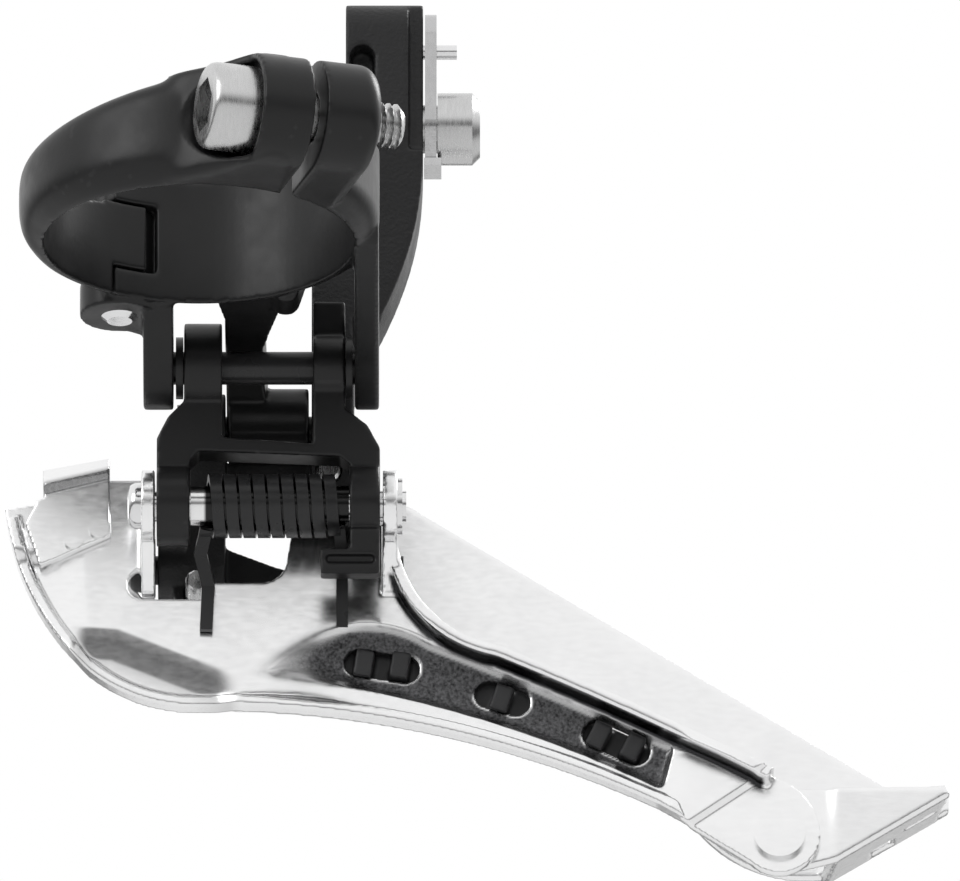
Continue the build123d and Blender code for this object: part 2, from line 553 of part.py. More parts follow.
def cage_inner_plate():
    """Pressed inner plate with a rolled rim, a long recess and two pivot ears."""
    face = inner_plate_outline()
    plate = along_y(face, INNER_FACE, INNER_FACE + SHEET)
    rim = face - offset(face, -SHEET)
    lip_area = outline((-30, -25), (-18.2, -22.5), (-12.0, -34.0), (-4.0, -40.6), (20, -41.0),
                       (49, -54.0), (52, -62.0), (-30, -62.0))
    lip = along_y(rim & lip_area, INNER_FACE - LIP, INNER_FACE)
    back_area = outline((20.9, -23), (17.0, -30), (22.0, -36.5), (58.0, -53.2), (62.0, -46.0),
                        (30, -23))
    lip += along_y(rim & back_area, INNER_FACE - BACK_LIP, INNER_FACE)
    solid = plate + lip
    solid -= along_y(recess_outline(), INNER_FACE - 1, INNER_FACE + SHEET + 1)
    solid += along_y(recess_outline(0.9), INNER_FACE + EMBOSS, INNER_FACE + EMBOSS + SHEET)
    solid -= along_y(clip_slots(), INNER_FACE - 1, INNER_FACE + 5)
    solid += ear(FRONT_EAR) + ear(REAR_EAR)
    solid -= rod_x(PIN_C_RADIUS, -10, 24, PIVOT_C)
    solid -= rod_x(PIN_D_RADIUS, -10, 24, PIVOT_D)
    solid -= rod_y(TAIL_RIVET_RADIUS, 30, 40, (TAIL_X, TAIL_Z))
    for x, z in BRIDGE_RIVETS:
        solid -= rod_y(BRIDGE_RIVET_RADIUS, 30, 40, (x, z))
    return solid


def outer_plate_outline():
    """Outline of the outer plate, as (X, Z). Its lower rim stands higher than the inner plate's."""
    front = ThreePointArc((-18.6, -17.6), (-17.6, -24.6), (-13.6, -31.4))
    toe = ThreePointArc((-13.6, -31.4), (-7.4, -36.4), (0.0, OUTER_RIM_TOP))
    rim = ThreePointArc((0.0, OUTER_RIM_TOP), (27.0, -41.4), (50.0, -50.2))
    heel = ThreePointArc((50.0, -50.2), (57.8, -56.6), (TAIL_FOLD_X, TAIL_FOLD_Z + TAIL_BRIDGE_RISE))
    fold = Line((TAIL_FOLD_X, TAIL_FOLD_Z + TAIL_BRIDGE_RISE), (77.2, -49.9))
    back = Polyline((77.2, -49.9), (77.2, -47.6), (70.9, -47.4), (22.6, -16.8))
    peak = RadiusArc((22.6, -16.8), (16.0, -18.0), -4.2)
    scoop = ThreePointArc((16.0, -18.0), (4.0, -30.4), (-9.0, -15.6))
    front_top = Polyline((-9.0, -15.6), (-17.2, -15.6), (-18.6, -17.6))
    return make_face(Curve() + [front, toe, rim, heel, fold, back, peak, scoop, front_top])


def tail_bridge():
    """Sheet that crosses from the outer plate to the flap behind the inner plate's tail."""
    slope = radians(TAIL_FOLD_SLOPE)
    run = Vector(cos(slope), 0, sin(slope))
    section_plane = Plane((TAIL_FOLD_X, 0, TAIL_FOLD_Z), x_dir=(0, 1, 0), z_dir=run)
    rise = TAIL_BRIDGE_RISE * cos(slope)
    near = INNER_FACE + SHEET + JOINT_GAP
    far = OUTER_FACE + SHEET
    section = outline((near, 0), (far, rise), (far, rise + SHEET), (near, SHEET))
    bridge = extrude(section_plane * section, amount=TAIL_FOLD_LENGTH)
    slot = Plane((0, 0, TAIL_FOLD_Z), x_dir=(1, 0, 0), z_dir=(0, 0, 1))
    bridge -= extrude(slot * (Pos(74.0, 41.2) * SlotOverall(3.0, 1.2)), amount=20)
    notch = Pos(70.2, OUTER_FACE - 1.0) * Rectangle(2.2, 6.0)
    return bridge - extrude(slot * notch, amount=8.5)


def cage_outer_plate():
    """Pressed outer plate with the front bridge and its tab, and the tail bridge and its flap."""
    face = outer_plate_outline()
    solid = along_y(face, OUTER_FACE, OUTER_FACE + SHEET)
    rim = face - offset(face, -SHEET)
    lip_area = outline((-30, -26), (-15.0, -26), (-11.4, -31.0), (-4.0, -35.4), (20, -37.0),
                       (50, -47.6), (52, -62.0), (-30, -62.0))
    solid += along_y(rim & lip_area, OUTER_FACE + SHEET, OUTER_FACE + SHEET + LIP)

    tab_face = INNER_FACE - SHEET - JOINT_GAP
    tab_back = tab_face + SHEET
    plate_back = OUTER_FACE + SHEET
    bridge_side = outline(
        (tab_face, -24.0), (tab_face, -18.3), (tab_face + 1.3, -16.3), (tab_face + 3.4, -15.7),
        (OUTER_FACE - 0.8, -15.7), (plate_back, -17.3), (plate_back, -19.5), (OUTER_FACE, -19.5),
        (OUTER_FACE, -17.7), (OUTER_FACE - 1.2, -16.9), (tab_face + 3.6, -16.9),
        (tab_back + 0.4, -17.1), (tab_back, -17.6), (tab_back, -24.0))
    bridge_end = outline((-18, -10), (-15.8, -10), (-17.6, -24.2), (-18, -24.2))
    bridge = along_x(bridge_side, -17.0, -9.4) - along_y(bridge_end, 30, 60)
    bridge_axis = Axis((-10.4, 0, -15.6), (0, 1, 0))
    bridge = bridge.rotate(bridge_axis, -BRIDGE_TILT)
    solid += bridge & along_x(Rectangle(200, 200), -20, -9.4)
    tab = outline((-16.9, -21.0), (-9.4, -19.0), (-9.2, -24.9), (-16.6, -28.4), (-18.1, -23.6))
    solid += along_y(tab, tab_face, tab_face + SHEET)

    near = INNER_FACE + SHEET + JOINT_GAP
    flap = outline((TAIL_FOLD_X, TAIL_FOLD_Z), (77.2, -52.8), (76.8, -51.9), (61.2, -52.1),
                   (58.4, -54.6), (60.4, -61.2))
    flap += Pos(TAIL_X, TAIL_Z) * Circle(3.7)
    solid += along_y(flap, near, near + SHEET) + tail_bridge()
    solid -= rod_y(TAIL_RIVET_RADIUS, 30, 40, (TAIL_X, TAIL_Z))
    for x, z in BRIDGE_RIVETS:
        solid -= rod_y(BRIDGE_RIVET_RADIUS, 30, 40, (x, z))
    return solid


def bridge_rivets():
    """Two small rivets that hold the bridge tab on the inner plate."""
    rivets = []
    for x, z in BRIDGE_RIVETS:
        tab_front = INNER_FACE - SHEET - JOINT_GAP
        plate_back = INNER_FACE + SHEET
        shank = rod_y(BRIDGE_RIVET_RADIUS, tab_front - 0.4, plate_back + 0.4, (x, z))
        heads = rod_y(BRIDGE_HEAD_RADIUS, tab_front - 0.45, tab_front, (x, z))
        heads += rod_y(BRIDGE_HEAD_RADIUS, plate_back, plate_back + 0.45, (x, z))
        rivets.append(shank + heads)
    return rivets


def cage_tail_rivet():
    """Rivet through the inner plate's tail and the outer plate's flap."""
    flap_back = INNER_FACE + 2 * SHEET + JOINT_GAP
    solid = rod_y(TAIL_RIVET_RADIUS, INNER_FACE, flap_back, (TAIL_X, TAIL_Z))
    near_head = rod_y(TAIL_HEAD_RADIUS, INNER_FACE - 0.9, INNER_FACE, (TAIL_X, TAIL_Z))
    far_head = rod_y(TAIL_HEAD_RADIUS, flap_back, flap_back + 0.8, (TAIL_X, TAIL_Z))
    return solid + near_head + far_head


def skid_plate():
    """Plastic rubbing strip on the chain side of the inner plate, clipped through the slots."""
    back = INNER_FACE + EMBOSS + SHEET + JOINT_GAP
    solid = along_y(recess_outline(-0.2), back, back + 1.6)
    for x, z, length, tilt in SLOTS:
        count = 1 if length < 6 else 2
        for index in range(count):
            shift = 0.0 if count == 1 else (index - 0.5) * 3.7
            place = Pos(x, z) * Rot(0, 0, tilt) * Pos(shift, 0)
            solid += along_y(place * Rectangle(1.9, 2.4), INNER_FACE + 0.1, back)
            hook = place * Pos(0, -0.9 if index == 0 else 0.9) * Rectangle(1.9, 1.4)
            solid += along_y(hook, INNER_FACE + 0.1, INNER_FACE + EMBOSS)
    return solid


def cage_pivot_pin():
    """Pivot C: riveted in both ears, with a domed head at the front."""
    solid = rod_x(PIN_C_RADIUS, FRONT_EAR[0] - 0.2, REAR_EAR[1] + 0.9, PIVOT_C)
    head = rod_x(2.4, FRONT_EAR[0] - 1.4, FRONT_EAR[0], PIVOT_C)
    head = fillet(head.edges().filter_by(GeomType.CIRCLE).sort_by(Axis.X)[0], 1.0)
    return solid + head


def cage_pivot_washer():
    """Washer under the riveted rear end of pivot C."""
    ring = rod_x(2.9, REAR_EAR[1], REAR_EAR[1] + 0.5, PIVOT_C)
    return ring - rod_x(PIN_C_RADIUS, 10, 30, PIVOT_C)


def spring_bush():
    """Sleeve on pivot C inside the return spring."""
    tube = rod_x(BUSH_RADIUS, LINK_FRONT_LEG[1] + 0.1, LINK_REAR_LEG[0] - 0.1, PIVOT_C)
    return tube - rod_x(PIN_C_RADIUS + RUNNING_GAP, -5, 20, PIVOT_C)


def outer_cage_pins():
    """Pivot D: one short pin riveted in each ear, the front one with a domed head."""
    front = rod_x(PIN_D_RADIUS, FRONT_EAR[0] - 0.2, FRONT_PIN_END, PIVOT_D)
    rear = rod_x(PIN_D_RADIUS, REAR_PIN_END, REAR_EAR[1] + 0.6, PIVOT_D)
    head = rod_x(2.3, FRONT_EAR[0] - 1.3, FRONT_EAR[0], PIVOT_D)
    head = fillet(head.edges().filter_by(GeomType.CIRCLE).sort_by(Axis.X)[0], 0.9)
    return [front + head, rear]


def spring_leg(points, width):
    """A bent end of the spring wire, as straight bars joined end to end."""
    bars = []
    for (x0, y0, z0), (x1, y1, z1) in zip(points, points[1:]):
        start = Vector(x0, y0, z0)
        run = Vector(x1, y1, z1) - start
        across = (1, 0, 0) if abs(run.X) < abs(run.Z) else (0, 1, 0)
        section = Plane(start, x_dir=across, z_dir=run.normalized())
        bars.append(extrude(section * Rectangle(width, SPRING_WIRE_DEPTH), amount=run.length + 0.3))
    return bars


def return_spring():
    """Torsion spring round pivot C; its front end bears on the cage, its rear end on the link hook."""
    height = SPRING_PITCH * SPRING_TURNS
    path = Helix(SPRING_PITCH, height, SPRING_RADIUS)
    start_plane = Plane(path @ 0, x_dir=(1, 0, 0), z_dir=path % 0)
    section = start_plane * Rectangle(SPRING_WIRE_DEPTH, SPRING_WIRE_WIDTH)
    coil = sweep(section, path, is_frenet=True)
    coil = Pos(SPRING_START, *PIVOT_C) * Rot(0, 90, 0) * coil
    y, z = PIVOT_C
    front_path = ((0.6, y, z - 2.5), (0.0, y + 2.2, z - 4.4), (0.8, y + 4.6, z - 7.0),
                  (0.6, y + 4.75, z - 11.6))
    rear_path = ((14.3, y, z - 2.5), (14.6, y + 1.4, z - 5.2), (14.6, y + 2.6, z - 12.0))
    front_leg = spring_leg(front_path, 1.3)
    rear_leg = spring_leg(rear_path, 1.2)
    solid = coil
    for bar in front_leg + rear_leg:
        solid += bar
    return solid


NODES = {
    "main_bracket": main_bracket,
    "clamp_band": clamp_band,
    "band_hinge_pin": band_hinge_pin,
    "clamp_bolt": clamp_bolt,
    "inner_pivot_pin": inner_pivot_pin,
    "inner_pivot_washers": inner_pivot_washers,
    "outer_pivot_pin": outer_pivot_pin,
    "outer_pivot_clip": outer_pivot_clip,
    "inner_link": inner_link,
    "outer_link": outer_link,
    "cable_washer_plate": cable_washer_plate,
    "cable_guide_pin": cable_guide_pin,
    "cable_fixing_bolt": cable_fixing_bolt,
    "low_limit_screw": low_limit_screw,
    "high_limit_screw": high_limit_screw,
    "cage_inner_plate": cage_inner_plate,
    "cage_outer_plate": cage_outer_plate,
    "bridge_rivets": bridge_rivets,
    "cage_tail_rivet": cage_tail_rivet,
    "skid_plate": skid_plate,
    "cage_pivot_pin": cage_pivot_pin,
    "cage_pivot_washer": cage_pivot_washer,
    "spring_bush": spring_bush,
    "outer_cage_pins": outer_cage_pins,
    "return_spring": return_spring,
}

for node, build in NODES.items():
    shape = build()
    if isinstance(shape, list):
        shape = Compound(children=shape)
    shape.label = node
    export_step(shape, f"parts/{node}.step")
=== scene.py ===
import json
import math

import bpy
import numpy as np
from mathutils import Matrix, Vector


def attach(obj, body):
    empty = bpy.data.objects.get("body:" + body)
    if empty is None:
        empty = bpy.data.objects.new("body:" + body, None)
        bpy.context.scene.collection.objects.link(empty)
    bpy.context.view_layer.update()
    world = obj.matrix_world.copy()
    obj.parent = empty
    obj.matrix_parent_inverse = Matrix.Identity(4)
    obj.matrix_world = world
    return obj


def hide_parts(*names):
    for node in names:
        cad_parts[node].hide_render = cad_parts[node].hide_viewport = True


# Front derailleur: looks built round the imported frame. The frame is in metres and the
# shape numbers below are in millimetres, turned into metres by MM.
MM = 0.001

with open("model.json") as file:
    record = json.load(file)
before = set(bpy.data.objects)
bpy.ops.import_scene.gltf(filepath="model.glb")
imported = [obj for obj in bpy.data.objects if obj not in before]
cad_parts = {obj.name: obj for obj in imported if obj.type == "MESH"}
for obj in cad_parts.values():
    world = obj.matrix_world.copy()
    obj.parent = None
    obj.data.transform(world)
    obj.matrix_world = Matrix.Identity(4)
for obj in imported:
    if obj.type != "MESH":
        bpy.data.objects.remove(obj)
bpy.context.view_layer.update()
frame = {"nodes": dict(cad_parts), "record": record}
BODY_OF = {
    node: body
    for body, nodes in frame["record"]["behaviour"]["bodies"].items()
    for node in nodes
}
SLOT_OF = {part["node"]: part["material_slot"] for part in frame["record"]["subparts"]}


# ---------------------------------------------------------------- materials

def new_material(name):
    """An empty node material with its Principled shader."""
    material = bpy.data.materials.new(name)
    material.use_nodes = True
    tree = material.node_tree
    shader = next(node for node in tree.nodes if node.type == "BSDF_PRINCIPLED")
    return material, tree, shader


def object_noise(tree, scale, detail=3.0, stretch=(1.0, 1.0, 1.0)):
    """Noise in object space; scale counts features per millimetre."""
    coords = tree.nodes.new("ShaderNodeTexCoord")
    mapping = tree.nodes.new("ShaderNodeMapping")
    mapping.inputs["Scale"].default_value = [factor / MM for factor in stretch]
    noise = tree.nodes.new("ShaderNodeTexNoise")
    noise.inputs["Scale"].default_value = scale
    noise.inputs["Detail"].default_value = detail
    tree.links.new(coords.outputs["Object"], mapping.inputs["Vector"])
    tree.links.new(mapping.outputs["Vector"], noise.inputs["Vector"])
    return noise.outputs["Fac"]


def ramp(tree, source, low, high):
    """Map a 0-1 signal onto the range low to high."""
    node = tree.nodes.new("ShaderNodeMapRange")
    node.inputs["From Min"].default_value = 0.3
    node.inputs["From Max"].default_value = 0.7
    node.inputs["To Min"].default_value = low
    node.inputs["To Max"].default_value = high
    tree.links.new(source, node.inputs["Value"])
    return node.outputs["Result"]


def bump(tree, shader, height, depth_mm, strength=1.0):
    """Drive the shader's normal from a height signal."""
    node = tree.nodes.new("ShaderNodeBump")
    node.inputs["Strength"].default_value = strength
    node.inputs["Distance"].default_value = depth_mm * MM
    tree.links.new(height, node.inputs["Height"])
    tree.links.new(node.outputs["Normal"], shader.inputs["Normal"])


def blend_tones(tree, signal, first, second):
    """Mix two colours, each given as RGBA or as a socket, by a 0-1 signal."""
    mix = tree.nodes.new("ShaderNodeMix")
    mix.data_type = "RGBA"
    inputs = [socket for socket in mix.inputs if socket.type == "RGBA"]
    for tone, socket in zip((first, second), inputs):
        if isinstance(tone, tuple):
            socket.default_value = tone
        else:
            tree.links.new(tone, socket)
    tree.links.new(signal, mix.inputs[0])
    return next(socket for socket in mix.outputs if socket.type == "RGBA")


def shade_by(tree, shader, signal, dark, light):
    """Colour that runs between two tones with a signal."""
    tone = blend_tones(tree, signal, (*dark, 1.0), (*light, 1.0))
    tree.links.new(tone, shader.inputs["Base Color"])


def edge_highlight_signal(tree, start, end):
    """Signal that rises on convex edges of a dense mesh, used to paint edge highlights."""
    geometry = tree.nodes.new("ShaderNodeNewGeometry")
    node = tree.nodes.new("ShaderNodeMapRange")
    node.inputs["From Min"].default_value = start
    node.inputs["From Max"].default_value = end
    tree.links.new(geometry.outputs["Pointiness"], node.inputs["Value"])
    return node.outputs["Result"]


def black_paint(name, roughness, grain_scale, grain_depth, tone=0.008):
    """Satin black paint: faint orange peel, patchy sheen and slightly lighter edges that are painted
    highlights.
    """
    material, tree, shader = new_material(name)
    # Painted highlight: convex edges get a lighter base colour.
    edges = edge_highlight_signal(tree, 0.53, 0.66)
    shade_by(tree, shader, edges, (tone, tone, tone * 1.04), (tone * 1.9, tone * 1.9, tone * 1.95))
    patches = object_noise(tree, 0.35, 2.0)
    tree.links.new(ramp(tree, patches, roughness - 0.05, roughness + 0.06), shader.inputs["Roughness"])
    shader.inputs["Specular IOR Level"].default_value = 0.32
    bump(tree, shader, object_noise(tree, grain_scale, 4.0), grain_depth)
    return material


def plated_steel(name, tone, roughness, smear=(1.0, 1.0, 1.0)):
    """Bright plating with polishing streaks and faint handling haze."""
    material, tree, shader = new_material(name)
    shader.inputs["Metallic"].default_value = 1.0
    haze = object_noise(tree, 0.25, 3.0)
    shade_by(tree, shader, haze, (tone * 0.93,) * 3, (tone, tone, tone * 1.01))
    streaks = object_noise(tree, 2.2, 4.0, smear)
    tree.links.new(ramp(tree, streaks, roughness * 0.7, roughness * 1.3), shader.inputs["Roughness"])
    bump(tree, shader, streaks, 0.004, 0.6)
    return material


def pressed_nickel(name):
    """Bright nickel sheet that turns dark and grainy where the stored grain value is high: painted
    dark reflection over a real grainy texture. The stored dark value darkens the colour as painted
    shade.
    """
    material, tree, bright = new_material(name)
    bright.inputs["Metallic"].default_value = 1.0
    haze = object_noise(tree, 0.2, 3.0)
    # Painted shade: the stored dark value pulls the colour down to near black.
    shadow = tree.nodes.new("ShaderNodeAttribute")
    shadow.attribute_name = "dark"
    plain = blend_tones(tree, haze, (0.84, 0.84, 0.845, 1.0), (0.93, 0.93, 0.93, 1.0))
    colour_with_painted_shade = blend_tones(tree, shadow.outputs["Fac"], plain, (0.035, 0.035, 0.037, 1.0))
    tree.links.new(colour_with_painted_shade, bright.inputs["Base Color"])
    streaks = object_noise(tree, 1.6, 4.0, (0.5, 1.0, 1.4))
    tree.links.new(ramp(tree, streaks, 0.19, 0.27), bright.inputs["Roughness"])
    bump(tree, bright, streaks, 0.006, 0.6)

    # Painted dark reflection: near-black grainy metal, blended in by the stored grain value.
    dark = tree.nodes.new("ShaderNodeBsdfPrincipled")
    dark.inputs["Metallic"].default_value = 1.0
    grain = object_noise(tree, 3.2, 5.0)
    shade_by(tree, dark, ramp(tree, grain, 0.0, 1.0), (0.035, 0.035, 0.036), (0.17, 0.17, 0.175))
    tree.links.new(ramp(tree, grain, 0.38, 0.55), dark.inputs["Roughness"])
    bump(tree, dark, grain, 0.10, 0.9)

    amount = tree.nodes.new("ShaderNodeAttribute")
    amount.attribute_name = "grain"
    blend = tree.nodes.new("ShaderNodeMixShader")
    output = next(node for node in tree.nodes if node.type == "OUTPUT_MATERIAL")
    tree.links.new(amount.outputs["Fac"], blend.inputs["Fac"])
    tree.links.new(bright.outputs["BSDF"], blend.inputs[1])
    tree.links.new(dark.outputs["BSDF"], blend.inputs[2])
    tree.links.new(blend.outputs["Shader"], output.inputs["Surface"])
    return material


def sleeve_painted_dark_in_coil(name):
    """Bright at its front end; black inside the coil as painted shade, where the coil keeps the light
    off it.
    """
    material, tree, shader = new_material(name)
    shader.inputs["Metallic"].default_value = 1.0
    shader.inputs["Roughness"].default_value = 0.2
    coords = tree.nodes.new("ShaderNodeTexCoord")
    split = tree.nodes.new("ShaderNodeSeparateXYZ")
    edge = tree.nodes.new("ShaderNodeMapRange")
    edge.inputs["From Min"].default_value = 0.3 * MM
    edge.inputs["From Max"].default_value = 0.6 * MM
    tree.links.new(coords.outputs["Object"], split.inputs["Vector"])
    tree.links.new(split.outputs["X"], edge.inputs["Value"])
    # Painted shade: the part inside the coil is coloured near black.
    shade_by(tree, shader, edge.outputs["Result"], (0.82, 0.82, 0.82), (0.03, 0.03, 0.03))
    return material


def turned_steel(name, tone, roughness):
    """Turned bolt steel with fine lathe marks."""
    material, tree, shader = new_material(name)
    shader.inputs["Metallic"].default_value = 1.0
    shader.inputs["Anisotropic"].default_value = 0.4
    marks = object_noise(tree, 5.0, 3.0, (1.0, 0.15, 0.15))
    shade_by(tree, shader, marks, (tone * 0.8,) * 3, (tone * 1.05,) * 3)
    tree.links.new(ramp(tree, marks, roughness * 0.8, roughness * 1.3), shader.inputs["Roughness"])
    bump(tree, shader, marks, 0.008, 0.6)
    return material


def moulded_plastic(name):
    """Matt black moulded plastic with a fine grain."""
    material, tree, shader = new_material(name)
    grain = object_noise(tree, 4.0, 3.0)
    shade_by(tree, shader, grain, (0.010, 0.010, 0.011), (0.020, 0.020, 0.021))
    tree.links.new(ramp(tree, grain, 0.42, 0.55), shader.inputs["Roughness"])
    bump(tree, shader, grain, 0.012, 0.7)
    return material


MATERIALS = {
    "black_casting": black_paint("black_casting", 0.36, 1.6, 0.010),
    "black_link": black_paint("black_link", 0.34, 1.9, 0.012),
    "cast_arm": black_paint("cast_arm", 0.44, 2.6, 0.07, 0.014),
    "black_pin": black_paint("black_pin", 0.30, 2.2, 0.006, 0.013),
    "black_spring": black_paint("black_spring", 0.30, 2.4, 0.010, 0.012),
    "bright_pin": plated_steel("bright_pin", 0.80, 0.16),
    "bright_plate": pressed_nickel("bright_plate"),
    "steel_bolt": turned_steel("steel_bolt", 0.62, 0.26),
    "black_plastic": moulded_plastic("black_plastic"),
}


# ---------------------------------------------------------------- mesh helpers

def add_piece(name, mesh, node, materials=()):
    """Put a mesh in the scene as the piece that stands for a CAD node."""
    piece = bpy.data.objects.new(name, mesh)
    bpy.context.scene.collection.objects.link(piece)
    mesh.materials.clear()
    mesh.materials.append(MATERIALS[SLOT_OF[node]])
    for material in materials:
        mesh.materials.append(material)
    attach(piece, BODY_OF[node])
    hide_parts(node)
    return piece


def remeshed(node, voxel, passes):
    """A CAD node's mesh rebuilt from even small faces, with its edges softened."""
    source = bpy.data.objects.new(node + "_work", frame["nodes"][node].data.copy())
    bpy.context.scene.collection.objects.link(source)
    remesh = source.modifiers.new("remesh", "REMESH")
    remesh.mode = "VOXEL"
    remesh.voxel_size = voxel * MM
    smooth = source.modifiers.new("smooth", "SMOOTH")
    smooth.factor = 0.5
    smooth.iterations = passes
    graph = bpy.context.evaluated_depsgraph_get()
    mesh = bpy.data.meshes.new_from_object(source.evaluated_get(graph))
    mesh.name = node
    bpy.data.objects.remove(source)
    mesh.shade_smooth()
    return mesh


def points_of(mesh):
    """Vertex positions in millimetres, one row each."""
    flat = np.empty(len(mesh.vertices) * 3)
    mesh.vertices.foreach_get("co", flat)
    return flat.reshape(-1, 3) / MM


def set_points(mesh, points):
    mesh.vertices.foreach_set("co", (points * MM).ravel())
    mesh.update()


def store(mesh, name, values):
    """Keep one number per vertex for the materials to read."""
    layer = mesh.attributes.new(name=name, type="FLOAT", domain="POINT")
    layer.data.foreach_set("value", np.asarray(values, dtype=np.float32))


def relax(mesh, points, weight, passes):
    """Smooth vertices by their neighbours, each as far as its weight allows."""
    ends = np.empty(len(mesh.edges) * 2, dtype=np.int32)
    mesh.edges.foreach_get("vertices", ends)
    ends = ends.reshape(-1, 2)
    count = np.bincount(ends.ravel(), minlength=len(points)).clip(1)[:, None]
    for _ in range(passes):
        total = np.zeros_like(points)
        for axis in range(3):
            total[:, axis] = np.bincount(ends[:, 0], points[ends[:, 1], axis], len(points))
            total[:, axis] += np.bincount(ends[:, 1], points[ends[:, 0], axis], len(points))
        points = points + (total / count - points) * weight[:, None]
    return points


def step(low, high, value):
    """Smooth 0-1 step; runs downwards when low is greater than high."""
    t = np.clip((value - low) / (high - low), 0.0, 1.0)
    return t * t * (3.0 - 2.0 * t)


def along_path(x, z, path):
    """Distance to an open path in the XZ plane, positive on its left-hand side."""
    best = np.full(x.shape, 1e9)
    side = np.zeros(x.shape)
    for (x0, z0), (x1, z1) in zip(path, path[1:]):
        dx, dz = x1 - x0, z1 - z0
        t = np.clip(((x - x0) * dx + (z - z0) * dz) / (dx * dx + dz * dz), 0.0, 1.0)
        gap = np.hypot(x - x0 - t * dx, z - z0 - t * dz)
        closer = gap < best
        best = np.where(closer, gap, best)
        cross = dx * (z - z0) - dz * (x - x0)
        side = np.where(closer, np.sign(cross), side)
    return best * side


def inside(x, z, outline):
    """Distance to a closed outline in the XZ plane, positive within it."""
    crossings = np.zeros(x.shape, dtype=bool)
    for (x0, z0), (x1, z1) in zip(outline, outline[1:] + outline[:1]):
        if z0 != z1:
            spans = (z0 > z) != (z1 > z)
            crossings ^= spans & (x < x0 + (z - z0) * (x1 - x0) / (z1 - z0))
    gap = np.abs(along_path(x, z, outline + outline[:1]))
    return np.where(crossings, gap, -gap)


def arc(first, middle, last, count=12):
    """Points along the circular arc through three (x, z) points."""
    (ax, az), (bx, bz), (cx, cz) = first, middle, last
    d = 2 * (ax * (bz - cz) + bx * (cz - az) + cx * (az - bz))
    squares = (ax * ax + az * az, bx * bx + bz * bz, cx * cx + cz * cz)
    ux = (squares[0] * (bz - cz) + squares[1] * (cz - az) + squares[2] * (az - bz)) / d
    uz = (squares[0] * (cx - bx) + squares[1] * (ax - cx) + squares[2] * (bx - ax)) / d
    start = math.atan2(az - uz, ax - ux)
    sweep = math.atan2(cz - uz, cx - ux) - start
    sweep = math.remainder(sweep, 2 * math.pi)
    radius = math.hypot(ax - ux, az - uz)
    angles = [start + sweep * i / count for i in range(count + 1)]
    return [(ux + radius * math.cos(angle), uz + radius * math.sin(angle)) for angle in angles]


def lathe(name, rings, segments=72):
    """A mesh of stacked rings round +Z.

    Each ring is (height, radius, sides); radius may be a function of the angle and sides is 0
    for a round ring or the number of flats of a socket."""
    verts = []
    for height, radius, sides in rings:
        for index in range(segments):
            angle = 2 * math.pi * index / segments
            reach = radius(angle) if callable(radius) else radius
            if sides:
                part = 2 * math.pi / sides
                reach /= math.cos((angle % part) - part / 2)
            verts.append((reach * math.cos(angle) * MM, reach * math.sin(angle) * MM, height * MM))
    faces = []
    for row in range(len(rings) - 1):
        for index in range(segments):
            here = row * segments + index
            after = row * segments + (index + 1) % segments
            faces.append((here, after, after + segments, here + segments))
    faces.append(tuple(reversed(range(segments))))
    faces.append(tuple(range((len(rings) - 1) * segments, len(rings) * segments)))
    mesh = bpy.data.meshes.new(name)
    mesh.from_pydata(verts, [], faces)
    mesh.shade_smooth()
    mesh.set_sharp_from_angle(angle=math.radians(40))
    return mesh


def thread_rings(start, end, crest, pitch, depth):
    """Rings of a screw thread between two heights."""
    rings = []
    count = int((end - start) / pitch * 12)
    for index in range(count + 1):
        height = start + (end - start) * index / count

        def radius(angle, height=height):
            turn = (height / pitch - angle / (2 * math.pi)) % 1.0
            return crest - depth * (1.0 - abs(2.0 * turn - 1.0)) ** 0.8

        rings.append((height, radius, 0))
    return rings


def aimed(mesh, origin, direction):
    """Move a mesh made along +Z so that it starts at a point and runs along a direction."""
    turn = Vector(direction).to_track_quat("Z", "Y").to_matrix().to_4x4()
    mesh.transform(Matrix.Translation(Vector(origin) * MM) @ turn)
    return mesh


# ---------------------------------------------------------------- castings

BOLT_TURN = math.radians(17.3)
BOLT_AXIS = Vector((math.cos(BOLT_TURN), math.sin(BOLT_TURN), 0.0))
BOLT_CENTRE = Vector((math.sin(BOLT_TURN), -math.cos(BOLT_TURN), 0.0)) * 22.1


def soften_band():
    """Round the band's outside like a barrel, leaving its bore and hinge alone."""
    node = "clamp_band"
    mesh = remeshed(node, 0.22, 4)
    points = points_of(mesh)
    x, y, z = points.T
    from_axis = np.hypot(x, y)
    outside = step(16.4, 17.2, from_axis) * step(9.0, 5.0, y)
    along = points @ np.array(BOLT_AXIS)
    across = points - np.array(BOLT_CENTRE) - along[:, None] * np.array(BOLT_AXIS)
    off_bolt = np.linalg.norm(across, axis=1)
    clear = step(5.2, 6.6, off_bolt) * step(-1.0, -4.0, along)
    points = relax(mesh, points, 0.5 * outside * clear, 70)
    set_points(mesh, points)
    add_piece("clamp_band_soft", mesh, node)


soften_band()
for node, voxel, passes in (
    ("main_bracket", 0.22, 6),
    ("inner_link", 0.18, 6),
    ("outer_link", 0.22, 5),
    ("skid_plate", 0.20, 3),
):
    add_piece(node + "_soft", remeshed(node, voxel, passes), node)


# ---------------------------------------------------------------- cage plates

